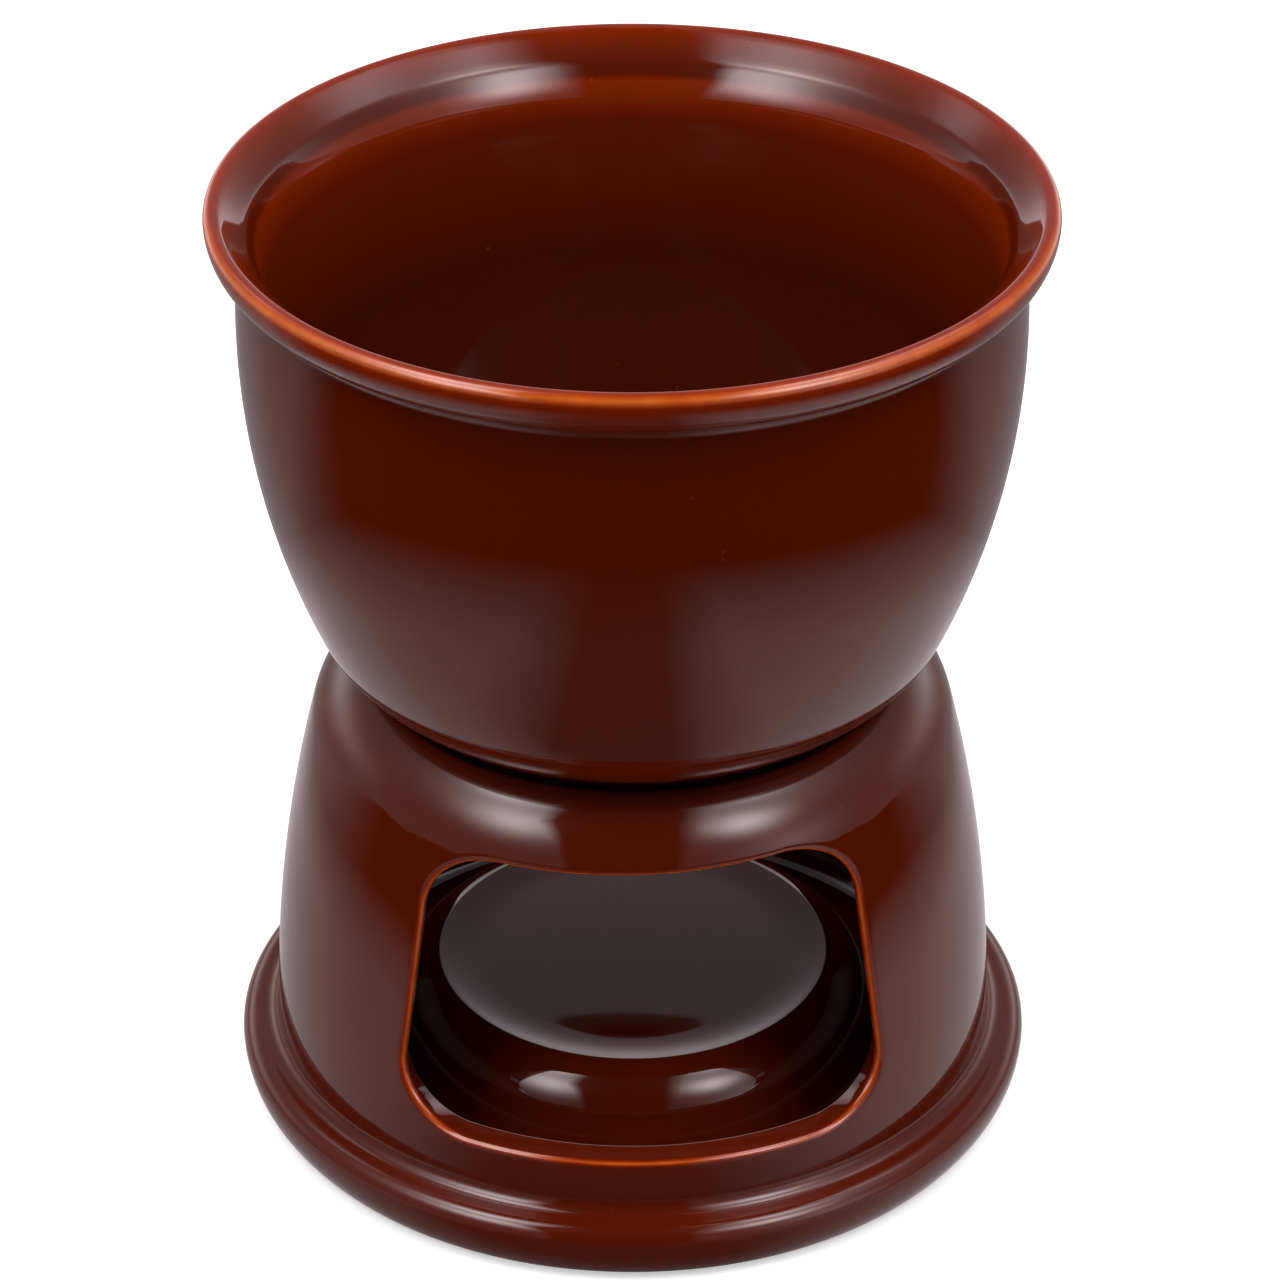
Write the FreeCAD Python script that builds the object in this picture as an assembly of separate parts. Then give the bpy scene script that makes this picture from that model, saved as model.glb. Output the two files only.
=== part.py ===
import FreeCAD, Part
import math
import os

# A small ceramic fondue set: a thick bowl whose foot ring sits in the mouth of a
# bell-shaped burner stand. Each is a single piece of glazed stoneware.
# Millimetres, +Z up. The origin is on the common axis, in the plane the stand rests
# on, and the front window faces -Y. Heights on the stand are measured from that
# plane, and heights on the bowl from the bottom of its own foot ring.

# Stand: the bell
stand_height = 71.5
bell_swell = 14.2
bell_widest_height = 8.0
bell_curve_radius = 220.0
shoulder_radius = 13.8
stand_wall = 4.6

# Stand: the flange and the foot ring under it
flange_reach = 5.6
flange_widest_height = 6.4
flange_edge_radius = 2.5
flange_underside_radius = 9.0
flange_fillet = 2.2
foot_ring_width = 6.5
foot_ring_depth = 1.8
foot_ring_side = 0.2

# Stand: the mouth and the ledge in it that carries the bowl
lip_width = 1.5
lip_rounding = 0.9
ledge_width = 9.6
ledge_thickness = 4.6
heat_hole_rounding = 1.2

# Stand: the floor and the raised candle seat in its middle. Its crest falls away at an
# angle from level, and its side stands at an angle from upright, both in degrees.
floor_thickness = 4.5
floor_fillet_share = 0.45
seat_crest_height = 18.1
seat_crest_margin = 20.1
seat_crest_slope = 16.0
seat_crest_rounding = 1.0
seat_shoulder_radius = 10.0
seat_side_slope = 22.0
seat_base_fillet_share = 0.11
seat_wall = 4.6
seat_hollow_edge_rounding = 2.0
dish_rise_width = 7.1
dish_depth = 0.8

# Stand: the windows, one in front and one behind
window_sill_height = 17.3
window_head_depth = 1.9
window_sill_margin = 19.1
window_top_margin = 25.0
window_top_slant = 1.2
window_sill_corner_radius = 9.0
window_top_corner_radius = 11.5
window_outer_rounding = 1.1
window_inner_rounding = 0.5

# Bowl: the body
bowl_height = 76.0
bowl_widest_drop = 18.7
bowl_curve_radius = 115.0
bowl_corner_radius = 17.6
bowl_underside_height = 1.25
bowl_wall = 4.4
bowl_floor_thickness = 4.6
bowl_inner_corner_radius = 18.0

# Bowl: the foot ring
bowl_foot_outset = 6.4
bowl_foot_width = 5.5
bowl_foot_depth = 1.8
bowl_foot_side = 0.2

# Bowl: the rolled rim
rim_radius = 60.0
rim_overhang = 3.9
rim_crest_rounding = 1.4
rim_roll_radius = 6.2
rim_neck_fillet = 2.0
rim_throat_drop = 3.8
rim_throat_rounding = 3.0
rim_flare_drop = 9.4
rim_flare_width = 2.7
rim_flare_blend = 12.0

# Clearances of the bowl in the mouth: round its foot ring, and over the lip
foot_clearance = 1.6
lip_clearance = 0.8

# How closely an edge must lie where it is looked for
match_tolerance = 0.01


def at(radius, height):
    """Point of a turned outline."""
    return FreeCAD.Vector(radius, 0, height)


def polar(centre, radius, degrees):
    """Point on a circle of the outline, at an angle from the outward direction."""
    angle = math.radians(degrees)
    return centre + at(radius * math.cos(angle), radius * math.sin(angle))


def towards(centre, target, distance):
    """Point at a distance from the centre, on the way to the target."""
    return centre + (target - centre).normalize() * distance


def radius_at(centre, radius, height):
    """How far out a circle of the outline reaches at a height."""
    return centre.x + math.sqrt(radius ** 2 - (height - centre.z) ** 2)


def touching(centre, radius, target):
    """Where a straight line to the target touches the upper side of a circle."""
    span = target - centre
    direction = math.degrees(math.atan2(span.z, span.x)) % 360
    return polar(centre, radius, direction - math.degrees(math.acos(radius / span.Length)))


def height_under(centre, radius, across):
    """Height of the underside of a circle at a distance from the axis."""
    return centre.z - math.sqrt(radius ** 2 - (across - centre.x) ** 2)


def crossings(first, first_radius, second, second_radius):
    """The two points where two circles of the outline cross."""
    span = second - first
    distance = span.Length
    along = (first_radius ** 2 - second_radius ** 2 + distance ** 2) / (2 * distance)
    aside = math.sqrt(first_radius ** 2 - along ** 2)
    middle = towards(first, second, along)
    offset = at(-span.z, span.x) * (aside / distance)
    return middle + offset, middle - offset


def outermost(points):
    return max(points, key=lambda point: point.x)


def lowest(points):
    return min(points, key=lambda point: point.z)


def side_radius(height):
    """How far out the straight, flared side of the candle seat reaches at a height."""
    return seat_side_start.x + (seat_side_start.z - height) * seat_side_flare


def line(start, end):
    return Part.LineSegment(start, end).toShape()


def arc(centre, start, end):
    """Shorter arc about the centre from start to end."""
    first = math.atan2(start.z - centre.z, start.x - centre.x)
    last = math.atan2(end.z - centre.z, end.x - centre.x)
    turn = (last - first + math.pi) % (2 * math.pi) - math.pi
    radius = start.distanceToPoint(centre)
    middle = polar(centre, radius, math.degrees(first + turn / 2))
    return Part.Arc(start, middle, end).toShape()


def path(*points):
    """Straight edges through the points."""
    return [line(start, end) for start, end in zip(points, points[1:])]


def turned(edges):
    """Solid of revolution about Z of a closed outline in the XZ plane."""
    face = Part.Face(Part.Wire(edges))
    return face.revolve(at(0, 0), at(0, 1), 360)


def rounded(solid, rounding, *rings):
    """Round the circular edges that pass through the given outline points."""
    chosen = []
    for edge in solid.Edges:
        curve = edge.Curve
        if isinstance(curve, Part.Circle):
            for ring in rings:
                if at(curve.Radius, curve.Center.z).isEqual(ring, match_tolerance):
                    chosen.append(edge)
    return solid.makeFillet(rounding, chosen)


# Bowl: sizes that follow from the rim, and the circles of its outer wall
bowl_radius = rim_radius - rim_overhang
bowl_widest_height = bowl_height - bowl_widest_drop
body_centre = at(bowl_radius - bowl_curve_radius, bowl_widest_height)
corner_height = bowl_underside_height + bowl_corner_radius
corner_centre = at(
    radius_at(body_centre, bowl_curve_radius - bowl_corner_radius, corner_height),
    corner_height)
corner_start = towards(body_centre, corner_centre, bowl_curve_radius)
bowl_floor_height = bowl_foot_depth + bowl_floor_thickness
bowl_foot_radius = corner_centre.x + bowl_foot_outset
bowl_foot_rounding = (bowl_foot_depth - bowl_foot_side) / 2

# Stand: sizes that follow from the bowl's foot ring, outwards and downwards
mouth_radius = bowl_foot_radius + foot_clearance
heat_hole_radius = mouth_radius - ledge_width
bell_radius = mouth_radius + lip_width + bell_swell
flange_radius = bell_radius + flange_reach
ledge_depth = height_under(corner_centre, bowl_corner_radius, mouth_radius) - lip_clearance
ledge_height = stand_height - ledge_depth
ceiling_height = ledge_height - ledge_thickness
foot_ring_rounding = (foot_ring_depth - foot_ring_side) / 2
window_sill_reach = bell_radius - window_sill_margin
window_top_reach = bell_radius - window_top_margin

# Stand: the candle seat, from its crest inwards to the dish and outwards to the floor
seat_crest = at(bell_radius - stand_wall - seat_crest_margin, seat_crest_height)
dish_edge = at(seat_crest.x - dish_rise_width, seat_crest_height - dish_depth)
dish_rise_radius = (dish_rise_width ** 2 + dish_depth ** 2) / (2 * dish_depth)
seat_shoulder_centre = polar(seat_crest, seat_shoulder_radius, 270 - seat_crest_slope)
seat_side_start = polar(seat_shoulder_centre, seat_shoulder_radius, seat_side_slope)
seat_side_flare = math.tan(math.radians(seat_side_slope))
stand_floor_height = foot_ring_depth + floor_thickness
seat_base_radius = side_radius(stand_floor_height)
trough_width = bell_radius - stand_wall - seat_base_radius
floor_fillet = floor_fillet_share * trough_width
seat_base_fillet = seat_base_fillet_share * trough_width


def rim_edges(inner_wall_end):
    """Outline of the rolled rim, from the body's neck over the crest to the inner wall."""
    crest_centre = at(rim_radius - rim_crest_rounding, bowl_height - rim_crest_rounding)
    roll_centre = at(rim_radius - rim_roll_radius, crest_centre.z)
    neck_centre = outermost(crossings(
        roll_centre, rim_roll_radius + rim_neck_fillet,
        body_centre, bowl_curve_radius + rim_neck_fillet))
    neck_start = towards(body_centre, neck_centre, bowl_curve_radius)
    roll_start = towards(roll_centre, neck_centre, rim_roll_radius)
    widest = at(rim_radius, crest_centre.z)
    throat = at(inner_wall_end.x + rim_flare_width, bowl_height - rim_throat_drop)
    face_start = touching(crest_centre, rim_crest_rounding, throat)
    edges = [
        arc(body_centre, corner_start, neck_start),
        arc(neck_centre, neck_start, roll_start),
        arc(roll_centre, roll_start, widest),
        arc(crest_centre, widest, face_start),
    ]
    return edges + path(face_start, throat, inner_wall_end), throat


def fondue_bowl():
    """Thick bowl with a foot ring, a bulging wall and a rolled, flared rim."""
    foot_top = at(bowl_foot_radius, height_under(
        corner_centre, bowl_corner_radius, bowl_foot_radius))
    foot_outer = at(bowl_foot_radius, 0)
    foot_inner = at(bowl_foot_radius - bowl_foot_width, 0)
    recess_edge = at(foot_inner.x, bowl_foot_depth)

    inner_radius = bowl_curve_radius - bowl_wall
    flare_height = bowl_height - rim_flare_drop
    flare_start = at(radius_at(body_centre, inner_radius, flare_height), flare_height)
    inner_corner_height = bowl_floor_height + bowl_inner_corner_radius
    inner_corner = at(radius_at(
        body_centre, inner_radius - bowl_inner_corner_radius, inner_corner_height),
        inner_corner_height)
    wall_end = towards(body_centre, inner_corner, inner_radius)
    floor_edge = at(inner_corner.x, bowl_floor_height)

    rim, throat = rim_edges(flare_start)
    edges = path(foot_inner, foot_outer, foot_top)
    edges.append(arc(corner_centre, foot_top, corner_start))
    edges += rim
    edges.append(arc(body_centre, flare_start, wall_end))
    edges.append(arc(inner_corner, wall_end, floor_edge))
    edges += path(floor_edge, at(0, bowl_floor_height), at(0, bowl_foot_depth),
                  recess_edge, foot_inner)

    bowl = turned(edges)
    bowl = rounded(bowl, rim_throat_rounding, throat)
    bowl = rounded(bowl, rim_flare_blend, flare_start)
    bowl = rounded(bowl, bowl_foot_rounding, foot_outer, foot_inner, foot_top, recess_edge)
    return bowl.translated(at(0, ledge_height))


def bell_edges(lip_outer):
    """Outside of the stand, from the table up over the flange and the bell to the lip."""
    underside = at(flange_radius - flange_underside_radius, flange_widest_height)
    flange_edge = at(flange_radius - flange_edge_radius, flange_widest_height)
    bell, shoulder = bell_centres(lip_outer)
    hollow = outermost(crossings(
        flange_edge, flange_edge_radius + flange_fillet,
        bell, bell_curve_radius + flange_fillet))
    foot_outer = at(radius_at(underside, flange_underside_radius, 0), 0)
    widest = at(flange_radius, flange_widest_height)
    flange_end = towards(flange_edge, hollow, flange_edge_radius)
    bell_start = towards(bell, hollow, bell_curve_radius)
    shoulder_start = towards(bell, shoulder, bell_curve_radius)
    return [
        arc(underside, foot_outer, widest),
        arc(flange_edge, widest, flange_end),
        arc(hollow, flange_end, bell_start),
        arc(bell, bell_start, shoulder_start),
        arc(shoulder, shoulder_start, lip_outer),
    ], foot_outer


def bell_centres(lip_outer):
    """Centres of the bell's long curve and of the shoulder that joins it to the lip."""
    bell = at(bell_radius - bell_curve_radius, bell_widest_height)
    shoulder = lowest(crossings(
        bell, bell_curve_radius - shoulder_radius, lip_outer, shoulder_radius))
    return bell, shoulder


def seat_edges(base):
    """Candle seat from its base over the broad shoulder and the crest into the dish."""
    dish_centre = at(dish_edge.x, dish_edge.z + dish_rise_radius)
    return [
        line(base, seat_side_start),
        arc(seat_shoulder_centre, seat_side_start, seat_crest),
        arc(dish_centre, seat_crest, dish_edge),
    ]


def burner_stand():
    """Bell with a flange foot, a ledge in its mouth, a candle seat and two windows."""
    lip_outer = at(mouth_radius + lip_width, stand_height)
    lip_inner = at(mouth_radius, stand_height)
    ledge_corner = at(mouth_radius, ledge_height)
    hole_top = at(heat_hole_radius, ledge_height)
    hole_bottom = at(heat_hole_radius, ceiling_height)

    bell, shoulder = bell_centres(lip_outer)
    inner_shoulder_radius = shoulder_radius - stand_wall
    inner_bell_radius = bell_curve_radius - stand_wall
    ceiling_edge = at(radius_at(shoulder, inner_shoulder_radius, ceiling_height), ceiling_height)
    inner_shoulder_start = towards(bell, shoulder, inner_bell_radius)
    wall_foot = at(radius_at(bell, inner_bell_radius, stand_floor_height), stand_floor_height)

    base = at(seat_base_radius, stand_floor_height)
    inset = seat_wall * math.hypot(1, seat_side_flare)
    hollow_height = dish_edge.z - seat_wall
    hollow_top = at(side_radius(hollow_height) - inset, hollow_height)
    hollow_base = at(side_radius(foot_ring_depth) - inset, foot_ring_depth)

    edges, foot_outer = bell_edges(lip_outer)
    foot_inner = at(foot_outer.x - foot_ring_width, 0)
    recess_edge = at(foot_inner.x, foot_ring_depth)
    edges += path(lip_outer, lip_inner, ledge_corner, hole_top, hole_bottom, ceiling_edge)
    edges.append(arc(shoulder, ceiling_edge, inner_shoulder_start))
    edges.append(arc(bell, inner_shoulder_start, wall_foot))
    edges += path(wall_foot, base)
    edges += seat_edges(base)
    edges += path(dish_edge, at(0, dish_edge.z), at(0, hollow_height), hollow_top,
                  hollow_base, recess_edge, foot_inner, foot_outer)

    stand = turned(edges)
    stand = rounded(stand, foot_ring_rounding, foot_outer, foot_inner, recess_edge)
    stand = rounded(stand, lip_rounding, lip_inner)
    stand = rounded(stand, heat_hole_rounding, hole_top, hole_bottom)
    stand = rounded(stand, floor_fillet, wall_foot)
    stand = rounded(stand, seat_base_fillet, base)
    stand = rounded(stand, seat_crest_rounding, seat_crest)
    stand = rounded(stand, seat_shoulder_radius - seat_wall, hollow_top)
    stand = rounded(stand, seat_hollow_edge_rounding, hollow_base)
    return rounded_windows(stand.cut(window_cutter()), bell)


def rounded_corner(before, corner, after, radius):
    """Tangent points and arc that round a corner of the window's outline."""
    back = (before - corner).normalize()
    ahead = (after - corner).normalize()
    half = back.getAngle(ahead) / 2
    start = corner + back * (radius / math.tan(half))
    end = corner + ahead * (radius / math.tan(half))
    middle = corner + (back + ahead).normalize() * (radius / math.sin(half) - radius)
    return start, Part.Arc(start, middle, end).toShape(), end


def window_cutter():
    """Prism through both windows, with a block round the candle seat kept out of it."""
    top = ceiling_height - window_head_depth
    corners = [
        (at(-window_sill_reach, window_sill_height), window_sill_corner_radius),
        (at(window_sill_reach, window_sill_height), window_sill_corner_radius),
        (at(window_top_reach, top), window_top_corner_radius),
        (at(-window_top_reach, top - window_top_slant), window_top_corner_radius),
    ]
    turns = []
    for index, (corner, radius) in enumerate(corners):
        before = corners[index - 1][0]
        after = corners[(index + 1) % len(corners)][0]
        turns.append(rounded_corner(before, corner, after, radius))
    edges = []
    for (start, turn, end), (next_start, _, _) in zip(turns, turns[1:] + turns[:1]):
        edges += [turn, line(end, next_start)]
    reach = FreeCAD.Vector(0, flange_radius, 0)
    prism = Part.Face(Part.Wire(edges)).translated(-reach).extrude(reach * 2)
    seat_block = Part.makeCylinder(seat_base_radius, seat_crest_height + dish_depth)
    return prism.cut(seat_block)


def rounded_windows(stand, bell):
    """Soften the edges of both windows, more outside than inside."""
    outer, inner = [], []
    for edge in stand.Edges:
        point = edge.valueAt((edge.FirstParameter + edge.LastParameter) / 2)
        between_sides = abs(point.x) < window_sill_reach + match_tolerance
        above_sill = point.z > window_sill_height - match_tolerance
        if between_sides and above_sill and point.z < ceiling_height:
            outside = radius_at(bell, bell_curve_radius, point.z)
            depth_in_wall = (outside - math.hypot(point.x, point.y)) / stand_wall
            if -0.25 < depth_in_wall < 0.25:
                outer.append(edge)
            elif 0.75 < depth_in_wall < 1.25:
                inner.append(edge)
    stand = stand.makeFillet(window_outer_rounding, outer)
    return stand.makeFillet(window_inner_rounding, inner)


def main():
    os.makedirs("parts", exist_ok=True)
    for name, shape in (("burner_stand", burner_stand()), ("fondue_bowl", fondue_bowl())):
        shape.exportStep("parts/" + name + ".step")
        print(name, "solids", len(shape.Solids), "volume", round(shape.Volume))


main()
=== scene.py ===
import math

import bmesh
import bpy
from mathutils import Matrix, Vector


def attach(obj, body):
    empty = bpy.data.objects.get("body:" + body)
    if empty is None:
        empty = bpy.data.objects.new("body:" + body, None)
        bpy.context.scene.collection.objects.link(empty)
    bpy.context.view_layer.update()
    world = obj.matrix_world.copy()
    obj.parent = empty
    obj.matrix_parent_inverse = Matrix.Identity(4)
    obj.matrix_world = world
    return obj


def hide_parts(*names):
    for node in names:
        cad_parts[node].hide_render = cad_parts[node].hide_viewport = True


bl_info = {
    "name": "Ceramic Fondue Set",
    "version": (1, 0, 0),
    "blender": (4, 5, 0),
    "location": "View3D > Sidebar > Fondue Set",
    "description": "Glazed bowl and burner stand of a small fondue set, with its studio",
    "category": "Add Mesh",
}

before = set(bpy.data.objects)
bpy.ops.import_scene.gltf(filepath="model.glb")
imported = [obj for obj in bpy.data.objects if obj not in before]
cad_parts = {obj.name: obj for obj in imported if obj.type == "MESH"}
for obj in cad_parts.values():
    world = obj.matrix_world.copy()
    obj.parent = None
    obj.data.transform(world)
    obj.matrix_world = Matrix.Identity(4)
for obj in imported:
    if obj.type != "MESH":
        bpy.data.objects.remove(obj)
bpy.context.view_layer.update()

MM = 0.001
BODY = "root"
BREAK_LAYER = "glaze_break"
TURNING_STEPS = 256
MERGE_DISTANCE = 0.01 * MM

# The bowl's wall: centre of its long curve, as radius and height in millimetres
BOWL_CENTRE = (-58.90, 126.43)
# The bell's wall: centres of its long curve and of its shoulder, as radius and height
BELL_CENTRE = Vector((-165.71, 8.0)) * MM
SHOULDER_CENTRE = Vector((34.06, 59.09)) * MM
# Even grid of faces that the windows are set in: the height where it begins, its rows up
# the long curve and up the shoulder, and how far round it reaches to either side
GRID_BOTTOM = 14.5
GRID_ROWS, SHOULDER_ROWS = 34, 3
GRID_HALF_ANGLE = math.radians(50.7)
# Thickness of the bell's wall
WALL = 4.6 * MM


# Turned pieces

class Outline:
    """Half section of a turned piece, drawn in the XZ plane in millimetres.

    A vertex is extruded along the straight parts and spun round the arcs.
    """

    def __init__(self, radius, height):
        self.mesh = bmesh.new()
        self.tip = self.mesh.verts.new((radius * MM, 0, height * MM))

    def line(self, radius, height, parts=1):
        """Straight on to a radius and height."""
        start = self.tip.co.copy()
        end = Vector((radius, 0, height)) * MM
        for part in range(1, parts + 1):
            self.tip = bmesh.ops.extrude_vert_indiv(self.mesh, verts=[self.tip])["verts"][0]
            self.tip.co = start.lerp(end, part / parts)
        return self

    def arc(self, radius, height, centre, parts):
        """Round a centre to a radius and height, the shorter way."""
        centre = Vector((centre[0], 0, centre[1])) * MM
        start = self.tip.co - centre
        end = Vector((radius, 0, height)) * MM - centre
        turn = math.atan2(start.z, start.x) - math.atan2(end.z, end.x)
        turn = (turn + math.pi) % math.tau - math.pi
        step = bmesh.ops.spin(
            self.mesh, geom=[self.tip], cent=centre, axis=(0, 1, 0), dvec=(0, 0, 0),
            angle=turn, steps=parts, use_merge=False, use_duplicate=False)
        self.tip = next(item for item in step["geom_last"] if isinstance(item, bmesh.types.BMVert))
        return self

    def turned(self):
        """Closed skin of revolution of the whole outline."""
        bmesh.ops.spin(
            self.mesh, geom=self.mesh.verts[:] + self.mesh.edges[:], cent=(0, 0, 0),
            axis=(0, 0, 1), dvec=(0, 0, 0), angle=math.tau, steps=TURNING_STEPS,
            use_merge=True, use_duplicate=False)
        bmesh.ops.remove_doubles(self.mesh, verts=self.mesh.verts, dist=MERGE_DISTANCE)
        bmesh.ops.recalc_face_normals(self.mesh, faces=self.mesh.faces)
        return self.mesh


def finished(mesh, name, node, material):
    """Object made of the mesh, shaded smooth, in place of its node of the frame."""
    for face in mesh.faces:
        face.smooth = True
    data = bpy.data.meshes.new(name)
    mesh.to_mesh(data)
    mesh.free()
    data.materials.append(material)
    piece = bpy.data.objects.new(name, data)
    bpy.context.scene.collection.objects.link(piece)
    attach(piece, BODY)
    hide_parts(node)
    return piece


def bowl_outline():
    """From the axis under the bowl round its foot ring, up the wall, over the rim and back."""
    outline = Outline(0, 70.93).line(30.69, 70.93, 12)
    outline.arc(31.49, 70.13, (30.69, 70.13), 5).line(31.49, 69.93)
    outline.arc(32.29, 69.13, (32.29, 69.93), 5).line(36.19, 69.13, 3)
    outline.arc(36.99, 69.93, (36.19, 69.93), 5).line(36.99, 71.04, 2)
    outline.arc(37.48, 71.78, (37.79, 71.04), 4)
    outline.arc(46.76, 81.03, (30.59, 87.98), 12)
    outline.arc(55.67, 136.32, BOWL_CENTRE, 26)
    outline.arc(56.72, 138.26, (57.67, 136.50), 8)
    outline.arc(60.00, 143.73, (53.80, 143.73), 12)
    outline.arc(57.64, 144.75, (58.60, 143.73), 10).line(54.41, 141.71, 5)
    outline.arc(53.77, 140.83, (56.44, 139.55), 3).line(52.69, 138.60, 3)
    outline.arc(51.52, 132.71, (63.52, 133.38), 6)
    outline.arc(44.48, 87.13, BOWL_CENTRE, 22)
    outline.arc(27.66, 75.53, (27.66, 93.53), 14).line(0, 75.53, 12)
    return outline


def stand_outline():
    """From the hollow under the candle seat over the foot ring, flange, bell and mouth,
    and back inside over the ledge, wall, floor and seat."""
    bell = BELL_CENTRE / MM
    shoulder = SHOULDER_CENTRE / MM
    outline = Outline(0, 12.7).line(27.31, 12.70, 8)
    outline.arc(32.32, 9.32, (27.31, 7.30), 8).line(34.85, 3.05, 4)
    outline.arc(36.71, 1.80, (36.71, 3.80), 5).line(49.92, 1.80, 5)
    outline.arc(50.72, 1.00, (49.92, 1.00), 5).line(50.72, 0.80)
    outline.arc(51.52, 0.00, (51.52, 0.80), 5).line(56.88, 0.00, 3)
    outline.arc(57.46, 0.25, (56.88, 0.80), 3)
    outline.arc(59.89, 6.40, (50.89, 6.40), 8)
    outline.arc(56.90, 8.85, (57.39, 6.40), 9)
    outline.arc(54.27, 10.98, (56.47, 11.01), 9)
    outline.arc(54.19, GRID_BOTTOM, bell, 2).arc(47.43, 62.51, bell, GRID_ROWS)
    outline.arc(46.01, 66.00, shoulder, SHOULDER_ROWS).arc(40.09, 71.50, shoulder, 8)
    outline.line(39.49, 71.50)
    outline.arc(38.59, 70.60, (39.49, 70.60), 6).line(38.59, 69.13, 2).line(30.19, 69.13, 5)
    outline.arc(28.99, 67.93, (30.19, 67.93), 5).line(28.99, 65.73, 2)
    outline.arc(30.19, 64.53, (30.19, 65.73), 5).line(41.48, 64.53, 6)
    outline.arc(41.84, 64.00, shoulder, 1).arc(42.97, 61.37, shoulder, SHOULDER_ROWS)
    outline.arc(49.59, GRID_BOTTOM, bell, GRID_ROWS).arc(49.66, 11.41, bell, 2)
    outline.arc(44.63, 6.30, (44.63, 11.33), 8).line(39.33, 6.30, 3)
    outline.arc(38.19, 7.07, (39.33, 7.53), 4).line(36.10, 12.23, 4)
    outline.arc(29.85, 18.02, (26.83, 8.49), 14).arc(29.34, 18.04, (29.55, 17.07), 4)
    outline.arc(22.49, 17.30, (22.49, 49.21), 8).line(0, 17.30, 12)
    return outline


# Windows of the stand

class Skin:
    """One side of the bell's wall, where it carries the windows.

    It has the radii of the long curve and of the shoulder, the height where they meet, the
    top of the even grid, and the radius of a window's rounded edge, all in millimetres, and
    faces outward (1) or inward (-1).
    """

    def __init__(self, curve, shoulder, meeting, grid_top, outward, rounding):
        self.curve = curve * MM
        self.shoulder = shoulder * MM
        self.meeting = meeting * MM
        self.grid_top = grid_top * MM
        self.outward = outward
        self.rounding = rounding * MM

    def arc(self, z):
        """Centre and radius of the arc at a height, and how far it reaches out there."""
        on_shoulder = z > self.meeting
        centre = SHOULDER_CENTRE if on_shoulder else BELL_CENTRE
        curve = self.shoulder if on_shoulder else self.curve
        return centre, curve, math.sqrt(curve ** 2 - (z - centre.y) ** 2)

    def at(self, x, z, side):
        """Point of the skin in front (side -1) or behind (side 1), and its normal there."""
        centre, curve, arm = self.arc(z)
        across = centre.x + arm
        y = side * math.sqrt(across ** 2 - x ** 2)
        normal = Vector((x / across * arm, y / across * arm, z - centre.y)) / curve
        return Vector((x, y, z)), normal * self.outward

    def carries(self, face, side):
        """Whether a face of the even grid on this skin lies where a window goes."""
        centre = face.calc_center_median()
        if not GRID_BOTTOM * MM < centre.z < self.grid_top:
            return False
        middle, _, arm = self.arc(centre.z)
        if abs(math.hypot(centre.x, centre.y) - middle.x - arm) > WALL / 4:
            return False
        return abs(math.atan2(centre.x, side * centre.y)) < GRID_HALF_ANGLE


class WindowEdge:
    """Rounded outline of a window seen from the front, from corners of place and radius."""

    def __init__(self, corners):
        points = [Vector(corner[:2]) * MM for corner in corners]
        self.turns = []
        for index, point in enumerate(points):
            back = (points[index - 1] - point).normalized()
            ahead = (points[(index + 1) % len(points)] - point).normalized()
            half = back.angle(ahead) / 2
            radius = corners[index][2] * MM
            centre = point + (back + ahead).normalized() * (radius / math.sin(half))
            reach = radius / math.tan(half)
            self.turns.append((centre, radius, point + back * reach, point + ahead * reach))

    def nearest(self, x, z):
        """Closest point of the outline to a place outside it, and the way out to there."""
        place = Vector((x, z))
        found = []
        for index, (centre, radius, start, end) in enumerate(self.turns):
            out = (place - centre).normalized()
            middle = ((start + end) / 2 - centre).normalized()
            if out.angle(middle) <= (start - centre).angle(end - centre) / 2:
                found.append(centre + out * radius)
            following = self.turns[(index + 1) % len(self.turns)][2]
            along = following - end
            share = (place - end).dot(along) / along.length_squared
            if 0 <= share <= 1:
                found.append(end + along * share)
        point = min(found, key=lambda spot: (spot - place).length)
        return point, (place - point).normalized()


# How thin the glaze runs over the steps of a window's rounded edge, as shares
LIP_BREAK = (0.08, 0.4, 0.85, 0.5, 0.2, 0.04)
# How strongly it does so on the outer and on the inner edge
OUTER_BREAK, INNER_BREAK = 1.0, 0.35
# Rings of faces from the even grid to a window's edge, and how they crowd towards the edge
SKIN_RINGS, RING_CROWDING = 5, 1.5


def rounded_lip(skin, side, point, out):
    """Points over the rounding where the skin turns into the window's reveal."""
    parts = len(LIP_BREAK)
    corner, normal = skin.at(point.x, point.y, side)
    out = Vector((out.x, 0, out.y))
    along_edge = normal.cross(out).normalized()
    along_skin = along_edge.cross(normal)
    along_skin *= 1 if along_skin.dot(out) > 0 else -1
    into_wall = along_edge.cross(out).normalized()
    into_wall *= 1 if into_wall.dot(normal) < 0 else -1
    half = along_skin.angle(into_wall) / 2
    centre = corner + (along_skin + into_wall).normalized() * (skin.rounding / math.sin(half))
    reach = skin.rounding / math.tan(half)
    start = corner + along_skin * reach - centre
    end = corner + into_wall * reach - centre
    turn = start.angle(end)
    return [
        centre + (start * math.sin(turn * (1 - step / parts))
                  + end * math.sin(turn * step / parts)) / math.sin(turn)
        for step in range(parts + 1)]


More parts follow.
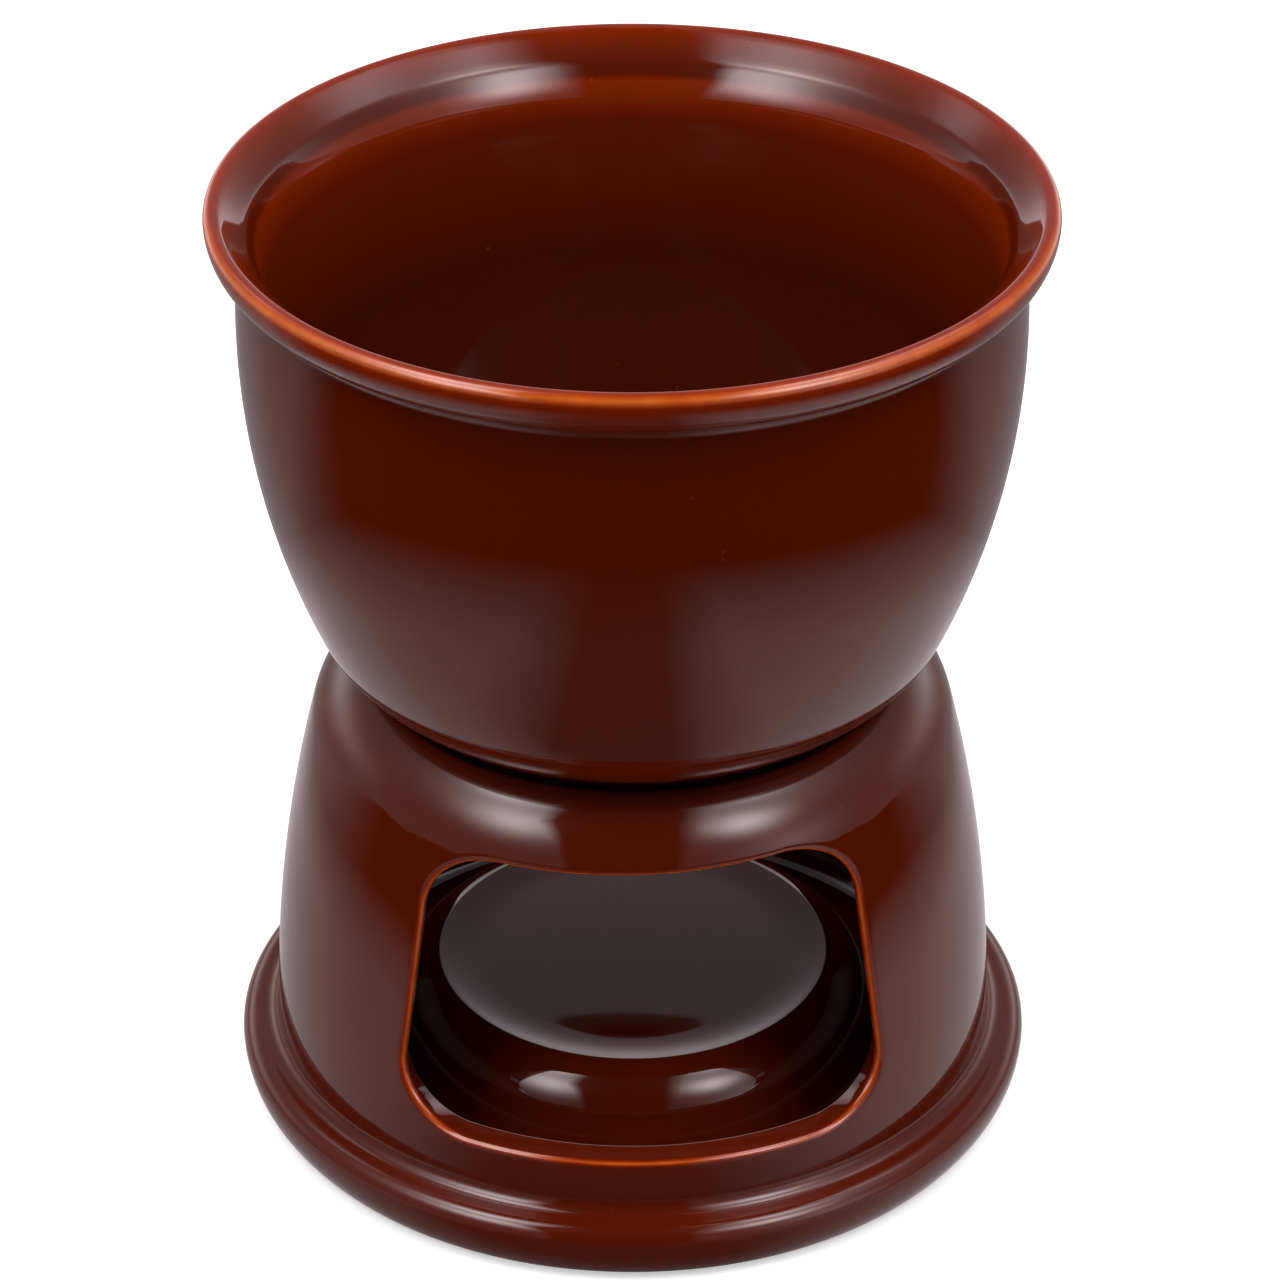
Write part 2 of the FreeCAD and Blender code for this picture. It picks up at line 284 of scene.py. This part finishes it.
def opened(mesh, skin, side, edge, strength):
    """Cut a window into one skin of the wall and lead its edge round into the reveal."""
    layer = mesh.verts.layers.float[BREAK_LAYER]
    doomed = {face for face in mesh.faces if skin.carries(face, side)}
    rim = {
        item for face in doomed for item in face.edges
        if sum(neighbour in doomed for neighbour in item.link_faces) == 1}
    rim = sorted(rim, key=lambda item: item.index)
    bmesh.ops.delete(mesh, geom=list(doomed), context="FACES")
    plans = {}
    for vert in {vert for item in rim for vert in item.verts}:
        point, out = edge.nearest(vert.co.x, vert.co.z)
        lip = rounded_lip(skin, side, point, out)
        first = skin.at(lip[0].x, lip[0].z, side)[0]
        plan = []
        for ring in range(1, SKIN_RINGS + 1):
            share = 1 - (1 - ring / SKIN_RINGS) ** RING_CROWDING
            x = vert.co.x + (first.x - vert.co.x) * share
            z = vert.co.z + (first.z - vert.co.z) * share
            plan.append((skin.at(x, z, side)[0], 0))
        plan += [(place, strength * share) for place, share in zip(lip[1:], LIP_BREAK)]
        plans[vert] = plan
    for ring in range(SKIN_RINGS + len(LIP_BREAK)):
        step = bmesh.ops.extrude_edge_only(mesh, edges=rim)
        rim = [item for item in step["geom"] if isinstance(item, bmesh.types.BMEdge)]
        fresh = [item for item in step["geom"] if isinstance(item, bmesh.types.BMVert)]
        moved = {}
        for vert in fresh:
            parent = next(item.other_vert(vert) for item in vert.link_edges
                          if item.other_vert(vert) in plans)
            moved[vert] = plans[parent]
        for vert, plan in moved.items():
            vert.co, vert[layer] = plan[ring]
        plans = moved
        rim = [item for item in rim if all(vert in plans for vert in item.verts)]
    return rim


def stand_mesh():
    """The turned stand with a window in front and one behind."""
    mesh = stand_outline().turned()
    mesh.verts.layers.float.new(BREAK_LAYER)
    outer = Skin(
        curve=220.0, shoulder=13.8, meeting=62.51, grid_top=66.0, outward=1, rounding=1.1)
    inner = Skin(
        curve=215.4, shoulder=9.2, meeting=61.37, grid_top=64.0, outward=-1, rounding=0.5)
    edge = WindowEdge([
        (-35.19, 17.3, 9.0), (35.19, 17.3, 9.0), (29.29, 62.63, 11.5), (-29.29, 61.43, 11.5)])
    for side in (-1, 1):
        mesh.edges.index_update()
        outside = opened(mesh, outer, side, edge, OUTER_BREAK)
        mesh.edges.index_update()
        inside = opened(mesh, inner, side, edge, INNER_BREAK)
        bmesh.ops.bridge_loops(mesh, edges=outside + inside)
    bmesh.ops.recalc_face_normals(mesh, faces=mesh.faces)
    return mesh


# Glazes

class Term:
    """A socket of a shader, on which Python's operators add Math nodes."""

    def __init__(self, shader, socket):
        self.shader = shader
        self.socket = socket

    def maths(self, operation, *values):
        inputs = dict(enumerate(values))
        return self.shader.node("ShaderNodeMath", inputs, operation=operation)

    def __add__(self, other):
        return self.maths("ADD", self, other)

    def __radd__(self, other):
        return self.maths("ADD", other, self)

    def __sub__(self, other):
        return self.maths("SUBTRACT", self, other)

    def __rsub__(self, other):
        return self.maths("SUBTRACT", other, self)

    def __mul__(self, other):
        return self.maths("MULTIPLY", self, other)

    def __rmul__(self, other):
        return self.maths("MULTIPLY", other, self)

    def __truediv__(self, other):
        return self.maths("DIVIDE", self, other)

    def __pow__(self, other):
        return self.maths("POWER", self, other)

    def clamped(self):
        return self.shader.node(
            "ShaderNodeMath", {0: self, 1: 0.0}, operation="ADD", use_clamp=True)

    def rising(self, start, reach):
        """0 up to a start, and from there up to 1 over a reach."""
        return ((self - start) / reach).clamped()

    def uneven(self, amount):
        """A noise as a factor round 1 that varies by the amount."""
        return self * amount + (1.0 - amount / 2)

    def larger(self, other):
        return self.maths("MAXIMUM", self, other)

    def size(self):
        return self.maths("ABSOLUTE", self)

    def bell(self, width):
        """Soft bell curve of a distance: 1 at 0, falling away over the width."""
        return self.maths("EXPONENT", (self / width) ** 2.0 * -1.0)


def distance(*parts):
    """Length of a vector from its parts."""
    return sum(part ** 2.0 for part in parts) ** 0.5


class Shader:
    """Node tree of a material or a world, with one method that adds every node."""

    def __init__(self, owner):
        self.tree = owner.node_tree
        self.tree.nodes.clear()

    def position(self):
        """Object coordinates, and their three parts."""
        place = self.node("ShaderNodeTexCoord", output="Object")
        parts = [self.node("ShaderNodeSeparateXYZ", {0: place}, axis) for axis in range(3)]
        return place, *parts

    def node(self, kind, inputs=(), output=0, stops=(), **settings):
        """Add a node: its settings and stops first, then the values or links of its sockets."""
        made = self.tree.nodes.new(kind)
        for name, value in settings.items():
            setattr(made, name, value)
        for index, (position, colour) in enumerate(stops):
            elements = made.color_ramp.elements
            stop = elements[index] if index < len(elements) else elements.new(position)
            stop.position, stop.color = position, colour
        for key, value in dict(inputs).items():
            if isinstance(value, Term):
                self.tree.links.new(value.socket, made.inputs[key])
            else:
                made.inputs[key].default_value = value
        return Term(self, made.outputs[output]) if made.outputs else None

    def mixed(self, share, first, second):
        """The first colour, and by the share the second one."""
        return self.node(
            "ShaderNodeMix", {"Factor": share, 6: colour_value(first), 7: colour_value(second)},
            2, data_type="RGBA")


def colour_value(colour):
    """A property's colour with its alpha, or a node's colour as it is."""
    return colour if isinstance(colour, Term) else (*colour, 1)


# Patterns in the glaze, in repeats per metre
CLOUDS, STREAKS, SWELLS, RIPPLES = 45.0, 260.0, 28.0, 110.0
PITS, PIT_PATCHES, GRIT = 420.0, 160.0, 1500.0
# Shares of the swells and of the ripples in the height of the glaze's waves
SWELL_SHARE, RIPPLE_SHARE = 0.6, 0.02
# Level of the noise from which a patch has pits and the reach to its full share of them,
# how small the pits are in their cells, their depth, and their part in colour and roughness
PATCH_START, PATCH_REACH, PIT_FINENESS, PIT_DEPTH = 0.62, 0.125, 7.0, 0.02 * MM
PIT_TINT, PIT_ROUGHNESS = 0.35, 0.2
# Height over which the glaze ends above the bare clay, the height of the clay's grit, and
# what bare clay adds to the roughness
BARE_FADE, GRIT_HEIGHT, CLAY_ROUGHNESS = 0.15 * MM, 0.08 * MM, 0.7
# How unevenly the glaze runs down the wall and over an edge
CLOUD_SHARE, STREAK_SHARE = 0.3, 0.5
# Thinness at which the colours of an edge have taken over, and those at which the glaze has
# its edge colour and its thin colour, on the way to amber at 1
EDGE_START, EDGE_AT, THIN_AT = 1 / 3, 0.4, 0.7
# Edges that the glaze runs thin over: radius, height and reach in millimetres, and strength. The
# second, wide entry at the rim makes the whole lip lighter round the crest.
RIM_BREAKS = ((59.9, 144.6, 1.75, 1.0), (59.9, 144.6, 6.5, 0.42))
MOUTH_BREAKS = ((40.0, 71.5, 1.3, 0.2),)
# Heights in millimetres below which the foot rings are bare
BOWL_BARE_BELOW, STAND_BARE_BELOW = 69.2, 0.07
# The middle of the bowl's wall, as a radius round BOWL_CENTRE, and of its floor
WALL_MIDDLE, FLOOR_MIDDLE = 112.8 * MM, 73.2 * MM
MIDDLE_FADE = 0.5 * MM
# Height from which the colour inside the bowl grows lighter, over what height, and by how much
LIGHTENING_START, LIGHTENING_HEIGHT, LIGHTENING = 112.0 * MM, 24.0 * MM, 0.85


def bowl_inside_gradient(radius, z):
    """What lies inside the middle of the bowl's wall and floor, and how much lighter its colour is
    there: darker towards the bottom, lightest under the lip."""
    from_centre = distance(radius - BOWL_CENTRE[0] * MM, z - BOWL_CENTRE[1] * MM)
    within_wall = 1.0 - from_centre.rising(WALL_MIDDLE - MIDDLE_FADE, MIDDLE_FADE)
    above_floor = z.rising(FLOOR_MIDDLE, MIDDLE_FADE)
    lightening = z.rising(LIGHTENING_START, LIGHTENING_HEIGHT) * LIGHTENING
    return within_wall * above_floor, lightening


def glaze_material(name, look, breaks, bare_below, inside_gradient=None):
    """Glossy brown glaze that runs thin and amber over edges, over a bare foot ring.

    Where inside_gradient is given, it tells from radius and height what lies inside the piece, and
    how much lighter its colour is there, towards the top.
    """
    material = bpy.data.materials.new(name)
    material.use_nodes = True
    shader = Shader(material)
    place, x, y, z = shader.position()
    radius = distance(x, y)

    def noise(scale, detail):
        return shader.node(
            "ShaderNodeTexNoise",
            {"Vector": place, "Scale": scale, "Detail": detail})

    clouds = noise(CLOUDS, 3.0)
    colour = shader.mixed(clouds, look.deep_colour, look.body_colour)
    # Inside the bowl the colour is darker towards the bottom and lighter towards the top, under
    # the lip
    if inside_gradient:
        inside, lightening = inside_gradient(radius, z)
        inside_tone = shader.mixed(
            lightening * clouds.uneven(CLOUD_SHARE), look.low_inside_colour, look.high_inside_colour)
        colour = shader.mixed(inside, colour, inside_tone)

    thin = shader.node("ShaderNodeAttribute", output="Fac", attribute_name=BREAK_LAYER)
    for break_radius, break_height, reach, strength in breaks:
        away = distance(radius - break_radius * MM, z - break_height * MM)
        thin = thin.larger((1.0 - away.rising(0.0, reach * MM)) * strength)
    thin = (thin * noise(STREAKS, 2.0).uneven(STREAK_SHARE)).clamped()
    edge_colour = shader.node("ShaderNodeValToRGB", {0: thin}, stops=(
        (0.0, colour_value(look.body_colour)), (EDGE_AT, colour_value(look.edge_colour)),
        (THIN_AT, colour_value(look.thin_colour)), (1.0, colour_value(look.amber_colour))))
    colour = shader.mixed(thin.rising(0.0, EDGE_START), colour, edge_colour)

    cells = shader.node("ShaderNodeTexVoronoi", {"Vector": place, "Scale": PITS})
    patches = noise(PIT_PATCHES, 1.0).rising(PATCH_START, PATCH_REACH)
    pits = (1.0 - cells * PIT_FINENESS).clamped() * patches
    colour = shader.mixed(pits * PIT_TINT, colour, look.thin_colour)

    bare = 1.0 - z.rising(bare_below * MM - BARE_FADE, BARE_FADE)
    colour = shader.mixed(bare, colour, look.clay_colour)
    roughness = look.gloss_roughness + pits * PIT_ROUGHNESS + bare * CLAY_ROUGHNESS

    waves = noise(SWELLS, 1.0) * SWELL_SHARE + noise(RIPPLES, 0.0) * RIPPLE_SHARE
    height = (
        waves * look.wave_height * MM - pits * PIT_DEPTH
        + noise(GRIT, 3.0) * bare * GRIT_HEIGHT)
    bump = shader.node("ShaderNodeBump", {"Height": height, "Strength": 1.0, "Distance": 1.0})
    surface = shader.node("ShaderNodeBsdfPrincipled", {
        "Base Color": colour, "Roughness": roughness, "Normal": bump, "IOR": look.gloss_index})
    shader.node("ShaderNodeOutputMaterial", {"Surface": surface})
    return material


# Studio

# A small light tent stands round the set. It is seen only in the glaze; the lamps and the
# air give the light. Its front has a dark opening, and lamps behind it make glowing spots.
TENT_RADIUS = 0.436
TABLE_RADIUS = 2.5
# Colour of the tent's cloth, and of the table in the glaze
CLOTH_TINT = (1.0, 0.92, 0.955)
# Glow of the cloth, what it gains to the back, and the height, width and glow of a pale
# band low at the back. Both rise to the back, from a place on and over a reach.
CLOTH_GLOW, BACK_GLOW, BACK_RISE = 0.28, 0.08, (-0.1, 0.4)
BAND_HEIGHT, BAND_WIDTH, BAND_GLOW, BAND_RISE = 0.13, 0.07, 1.15, (0.0, 0.3)
# Place, width and glow of the spots
GLOW_SPOTS = (
    ((-0.165, -0.060, 0.400), 0.067, 8.5), ((-0.225, -0.220, 0.300), 0.090, 7.0),
    ((-0.217, -0.134, 0.354), 0.132, 2.0), ((0.155, -0.062, 0.403), 0.055, 6.0),
    ((0.203, -0.240, 0.300), 0.072, 8.0), ((0.165, -0.140, 0.385), 0.150, 1.9),
    ((0.310, -0.270, 0.110), 0.110, 1.3), ((0.195, 0.085, 0.380), 0.060, 1.9),
    ((-0.200, 0.185, 0.340), 0.045, 1.1))
# Edges of the dark opening: place, softness low down and softness high up
OPENING_LEFT = (-0.045, 0.02, 0.035)
OPENING_RIGHT = (0.100, 0.03, 0.05)
OPENING_BACK = (0.085, 0.10, 0.10)
# How far the left edge slants outwards to the front, and where it stops slanting
OPENING_SLANT, SLANT_END = 0.54, -0.22
# Height from which the softness changes, and over what reach
SOFTENING = (0.2, 0.15)
# Light that comes in through the opening, as a share of the cloth's
OPENING_GLOW = 0.04

# The table in the glaze: its paleness near the set, the share of it behind, and what is
# taken from it in front and at the left
TABLE_PALE, PALE_BEHIND, DARK_IN_FRONT, DARK_AT_LEFT = 0.66, 0.5, 0.88, 0.25
# Radius from which the paleness fades, and where the back, the front and the left of the
# table begin, each with its reach
PALE_FADE, BEHIND_RISE = (0.125, 0.075), (-0.02, 0.1)
FRONT_RISE, LEFT_RISE = (0.03, 0.03), (0.0, 0.06)
# Middle of the dark front of the table, its half width, and its soft edge
FRONT_MIDDLE, FRONT_SIDE = -0.01, (0.025, 0.045)
# The table to the camera: its colour, and what lifts it to white near the set and far away
TABLE_COLOUR, TABLE_LIFT, FAR_LIFT, FAR_RISE = (0.75, 0.75, 0.75, 1), 0.5, 1.0, (0.2, 0.4)
# Places of the two lamps above, right and left, and of the fainter one behind, at distance 1
LAMP_ABOVE, LAMP_BEHIND = (0.45, -0.18, 0.87), (0, 0.72, 0.65)
BEHIND_POWER = 0.35
LAMP_SIZE = 0.5
LAMP_AIM = Vector((0, 0, 0.1))


def stage_shader(name):
    """New material of the stage, which is no lamp itself, and its empty node tree."""
    material = bpy.data.materials.new(name)
    material.use_nodes = True
    material.cycles.emission_sampling = "NONE"
    return material, Shader(material)


def cloth_light(shader, level):
    """Emission in the colour of the cloth."""
    tint = shader.node("ShaderNodeVectorMath", {0: CLOTH_TINT, "Scale": level}, operation="SCALE")
    return shader.node("ShaderNodeEmission", {"Color": tint})


def tent_material():
    """Glowing cloth with brighter spots and a dark opening in front."""
    material, shader = stage_shader("tent_cloth")
    _, x, y, z = shader.position()
    glow = y.rising(*BACK_RISE) * BACK_GLOW + CLOTH_GLOW
    glow = glow + (z - BAND_HEIGHT).bell(BAND_WIDTH) * y.rising(*BAND_RISE) * BAND_GLOW
    for centre, width, strength in GLOW_SPOTS:
        away = distance(x - centre[0], y - centre[1], z - centre[2])
        glow = glow + away.bell(width) * strength
    high = z.rising(*SOFTENING)

    def past(way, edge):
        _, low_softness, high_softness = edge
        softness = high * (high_softness - low_softness) + low_softness
        return (way / softness + 0.5).clamped()

    left_edge = y.larger(SLANT_END) * OPENING_SLANT + OPENING_LEFT[0]
    lit = past(left_edge - x, OPENING_LEFT)
    lit = lit.larger(past(x - OPENING_RIGHT[0], OPENING_RIGHT))
    lit = lit.larger(past(y - OPENING_BACK[0], OPENING_BACK))
    glow = glow * (lit * (1 - OPENING_GLOW) + OPENING_GLOW)
    shader.node("ShaderNodeOutputMaterial", {"Surface": cloth_light(shader, glow)})
    return material


def table_material():
    """White where the camera sees it; in the glaze it is pale near the set and dark in front."""
    material, shader = stage_shader("table_white")
    _, x, y, _ = shader.position()
    radius = distance(x, y)
    near = 1.0 - radius.rising(*PALE_FADE)
    behind = y.rising(*BEHIND_RISE)
    front = (0.0 - y).rising(*FRONT_RISE) * (1.0 - (x - FRONT_MIDDLE).size().rising(*FRONT_SIDE))
    left = (0.0 - x).rising(*LEFT_RISE) * (1.0 - behind)
    pale = near.larger(behind * PALE_BEHIND) * (1.0 - front * DARK_IN_FRONT)
    pale = pale * (1.0 - left * DARK_AT_LEFT) * TABLE_PALE

    far = radius.rising(*FAR_RISE)
    camera = shader.node("ShaderNodeLightPath", output="Is Camera Ray")
    glossy = shader.node("ShaderNodeLightPath", output="Is Glossy Ray")
    plain = shader.node("ShaderNodeBsdfDiffuse", {"Color": TABLE_COLOUR})
    lift = shader.node(
        "ShaderNodeEmission", {"Color": camera * (far * (FAR_LIFT - TABLE_LIFT) + TABLE_LIFT)})
    seen = shader.node("ShaderNodeAddShader", {0: plain, 1: lift})
    mirrored = cloth_light(shader, pale)
    surface = shader.node("ShaderNodeMixShader", {0: glossy, 1: seen, 2: mirrored})
    shader.node("ShaderNodeOutputMaterial", {"Surface": surface})
    return material


def stage_piece(mesh, name, material):
    """Object of the stage made of the mesh."""
    data = bpy.data.meshes.new(name)
    mesh.to_mesh(data)
    mesh.free()
    data.materials.append(material)
    piece = bpy.data.objects.new(name, data)
    bpy.context.scene.collection.objects.link(piece)
    return piece


def studio_air(level):
    """World that is white where it is seen or mirrored, and an even light to everything else."""
    world = bpy.data.worlds.new("studio_air")
    bpy.context.scene.world = world
    world.use_nodes = True
    air = Shader(world)
    seen = air.node("ShaderNodeLightPath", output="Is Camera Ray")
    for kind in ("Is Glossy Ray", "Is Transmission Ray"):
        seen = seen.larger(air.node("ShaderNodeLightPath", output=kind))
    even = air.node("ShaderNodeBackground", {"Color": (1, 1, 1, 1), "Strength": level})
    white = air.node("ShaderNodeBackground", {"Color": (1, 1, 1, 1), "Strength": 1.0})
    mixed = air.node("ShaderNodeMixShader", {0: seen, 1: even, 2: white})
    air.node("ShaderNodeOutputWorld", {"Surface": mixed})


def studio_lamp(name, place, power):
    """Soft lamp that lights the set but doesn't show in its glaze."""
    data = bpy.data.lights.new(name, "AREA")
    data.size, data.energy = LAMP_SIZE, power
    lamp = bpy.data.objects.new(name, data)
    bpy.context.scene.collection.objects.link(lamp)
    lamp.location = place
    lamp.rotation_euler = (LAMP_AIM - place).to_track_quat("-Z", "Y").to_euler()
    lamp.visible_glossy = False


# What a user would change

def colour_property(name, description, value):
    """Property that holds a colour."""
    return bpy.props.FloatVectorProperty(
        name=name, description=description, default=value, size=3, min=0, max=1,
        subtype="COLOR")


class GlazeLook(bpy.types.PropertyGroup):
    body_colour: colour_property(
        "Body", "Colour of the glaze where it has its usual thickness", (0.088, 0.0078, 0.0009))
    deep_colour: colour_property(
        "Deep", "Colour of the glaze where it lies thickest", (0.074, 0.0062, 0.0007))
    # Colour inside the bowl towards the bottom, where it is darker
    low_inside_colour: colour_property(
        "Lower inside", "Colour of the glaze that has gathered inside the bowl", (0.054, 0.0052, 0.0006))
    # Colour inside the bowl towards the top, under the lip, where it is lighter
    high_inside_colour: colour_property(
        "Upper inside", "Colour of the glaze that has run down off a steep wall", (0.19, 0.0155, 0.0008))
    edge_colour: colour_property(
        "Edge", "Colour of the glaze beside an edge", (0.20, 0.0150, 0.0009))
    thin_colour: colour_property(
        "Thin", "Colour of the glaze where it begins to break over an edge", (0.36, 0.050, 0.005))
    amber_colour: colour_property(
        "Amber", "Colour of the glaze where it is thinnest, on an edge", (0.52, 0.108, 0.016))
    clay_colour: colour_property(
        "Clay", "Colour of the bare foot ring", (0.42, 0.30, 0.21))
    gloss_roughness: bpy.props.FloatProperty(
        name="Roughness", description="Roughness of the glaze", default=0.05, min=0, max=1)
    gloss_index: bpy.props.FloatProperty(
        name="Index", description="Refractive index of the glaze", default=1.52, min=1, max=3)
    wave_height: bpy.props.FloatProperty(
        name="Waves", description="Height of the slow waves in the glaze, in millimetres",
        default=0.05, min=0, max=1)


class StudioLook(bpy.types.PropertyGroup):
    lens: bpy.props.FloatProperty(
        name="Lens", description="Focal length of the camera in millimetres",
        default=138.47, min=1, subtype="NONE")
    camera_azimuth: bpy.props.FloatProperty(
        name="Azimuth", description="How far round the set the camera stands",
        default=math.radians(-1.85), subtype="ANGLE")
    camera_pitch: bpy.props.FloatProperty(
        name="Pitch", description="How far the camera looks down",
        default=math.radians(31.03), subtype="ANGLE")
    camera_distance: bpy.props.FloatProperty(
        name="Distance", description="Level distance from the set's axis to the camera",
        default=0.6217, min=0.1, subtype="DISTANCE", unit="LENGTH")
    camera_height: bpy.props.FloatProperty(
        name="Height", description="Height of the camera over the table",
        default=0.4466, min=0, subtype="DISTANCE", unit="LENGTH")
    camera_aside: bpy.props.FloatProperty(
        name="Aside", description="How far right of the set's axis the camera aims",
        default=0.00109, subtype="DISTANCE", unit="LENGTH")
    lamp_power: bpy.props.FloatProperty(
        name="Lamps", description="Power of each lamp", default=4.6, min=0, unit="POWER")
    lamp_distance: bpy.props.FloatProperty(
        name="Lamp distance", description="How far away the lamps hang", default=0.8, min=0.1,
        subtype="DISTANCE", unit="LENGTH")
    air_level: bpy.props.FloatProperty(
        name="Air", description="Strength of the even light from all round", default=0.12, min=0)


# Operators

class FONDUE_OT_bowl(bpy.types.Operator):
    """Turn the bowl and glaze it"""
    bl_idname = "fondue.bowl"
    bl_label = "Bowl"

    def execute(self, context):
        look = context.scene.fondue_glaze
        material = glaze_material(
            "bowl_glaze", look, RIM_BREAKS, BOWL_BARE_BELOW, inside_gradient=bowl_inside_gradient)
        finished(bowl_outline().turned(), "bowl", "fondue_bowl", material)
        return {"FINISHED"}


class FONDUE_OT_stand(bpy.types.Operator):
    """Turn the burner stand, cut its windows and glaze it"""
    bl_idname = "fondue.stand"
    bl_label = "Burner stand"

    def execute(self, context):
        look = context.scene.fondue_glaze
        material = glaze_material("stand_glaze", look, MOUTH_BREAKS, STAND_BARE_BELOW)
        finished(stand_mesh(), "stand", "burner_stand", material)
        return {"FINISHED"}


class FONDUE_OT_studio(bpy.types.Operator):
    """Set up the floor, the lights and the camera"""
    bl_idname = "fondue.studio"
    bl_label = "Studio"

    def execute(self, context):
        look = context.scene.fondue_studio
        scene = context.scene
        scene.view_settings.view_transform = "Standard"

        mesh = bmesh.new()
        bmesh.ops.create_circle(mesh, cap_ends=True, segments=96, radius=TABLE_RADIUS)
        stage_piece(mesh, "table_top", table_material())
        mesh = bmesh.new()
        bmesh.ops.create_uvsphere(mesh, u_segments=64, v_segments=32, radius=TENT_RADIUS)
        tent = stage_piece(mesh, "tent", tent_material())
        tent.visible_camera = tent.visible_diffuse = tent.visible_shadow = False
        studio_air(look.air_level)

        for side in (-1, 1):
            place = Vector((side * LAMP_ABOVE[0], *LAMP_ABOVE[1:])) * look.lamp_distance
            studio_lamp("lamp", place, look.lamp_power)
        place = Vector(LAMP_BEHIND) * look.lamp_distance
        studio_lamp("lamp_behind", place, look.lamp_power * BEHIND_POWER)

        data = bpy.data.cameras.new("camera")
        data.lens = look.lens
        camera = bpy.data.objects.new("camera", data)
        scene.collection.objects.link(camera)
        turn = look.camera_azimuth
        camera.location = (
            look.camera_distance * math.sin(turn) + look.camera_aside * math.cos(turn),
            -look.camera_distance * math.cos(turn) + look.camera_aside * math.sin(turn),
            look.camera_height)
        camera.rotation_euler = (math.pi / 2 - look.camera_pitch, 0, turn)
        scene.camera = camera
        return {"FINISHED"}


class FONDUE_PT_panel(bpy.types.Panel):
    """Sizes, colours and steps of the fondue set"""
    bl_label = "Fondue Set"
    bl_idname = "FONDUE_PT_panel"
    bl_space_type = "VIEW_3D"
    bl_region_type = "UI"
    bl_category = "Fondue Set"

    def draw(self, context):
        for operator in (FONDUE_OT_bowl, FONDUE_OT_stand, FONDUE_OT_studio):
            self.layout.operator(operator.bl_idname)
        for group in (context.scene.fondue_glaze, context.scene.fondue_studio):
            box = self.layout.box()
            for name in group.__annotations__:
                box.prop(group, name)


CLASSES = (
    GlazeLook, StudioLook, FONDUE_OT_bowl, FONDUE_OT_stand, FONDUE_OT_studio, FONDUE_PT_panel)


def register():
    for item in CLASSES:
        bpy.utils.register_class(item)
    bpy.types.Scene.fondue_glaze = bpy.props.PointerProperty(type=GlazeLook)
    bpy.types.Scene.fondue_studio = bpy.props.PointerProperty(type=StudioLook)


def unregister():
    del bpy.types.Scene.fondue_studio
    del bpy.types.Scene.fondue_glaze
    for item in reversed(CLASSES):
        bpy.utils.unregister_class(item)


def main():
    """Build the set and its studio."""
    register()
    bpy.ops.fondue.bowl()
    bpy.ops.fondue.stand()
    bpy.ops.fondue.studio()


if __name__ == "__main__":
    main()
